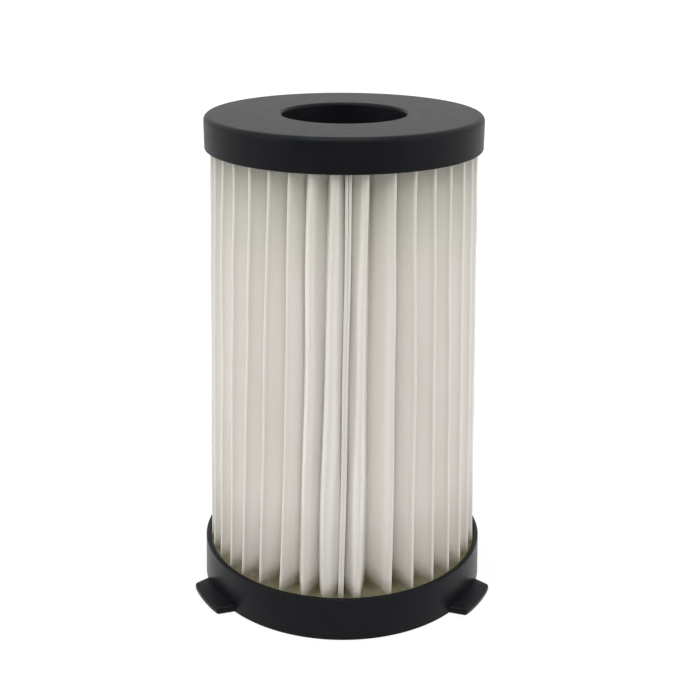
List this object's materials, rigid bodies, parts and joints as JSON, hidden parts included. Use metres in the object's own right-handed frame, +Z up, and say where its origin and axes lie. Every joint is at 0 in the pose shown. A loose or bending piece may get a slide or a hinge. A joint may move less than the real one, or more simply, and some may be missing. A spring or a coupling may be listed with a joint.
{
  "type": "vacuum hepa filter",
  "caption": "Upright pleated filter cartridge of a bagless vacuum cleaner, with a ring cap, a round outlet on top and a closed base cup with flat bayonet lugs.",
  "frame": {"origin": "centre of the underside of the base, on the cartridge's axis", "axes": "+Z up along the axis to the outlet, -Y to the front, where the sheet's seam is"},
  "size_m": [0.0824, 0.0837, 0.1312],
  "materials": {
    "black_plastic": "satin black moulding with a fine spark texture",
    "cage_plastic": "plain black moulding",
    "filter_sheet": "cream white fibre sheet, matt, folded",
    "glue": "set glue, olive grey"
  },
  "bodies": {
    "root": {"top_cap": "black_plastic", "bottom_cap": "black_plastic", "inner_cage": "cage_plastic", "pleated_media": "filter_sheet", "top_potting": "glue", "bottom_potting": "glue"}
  },
  "joints": []
}
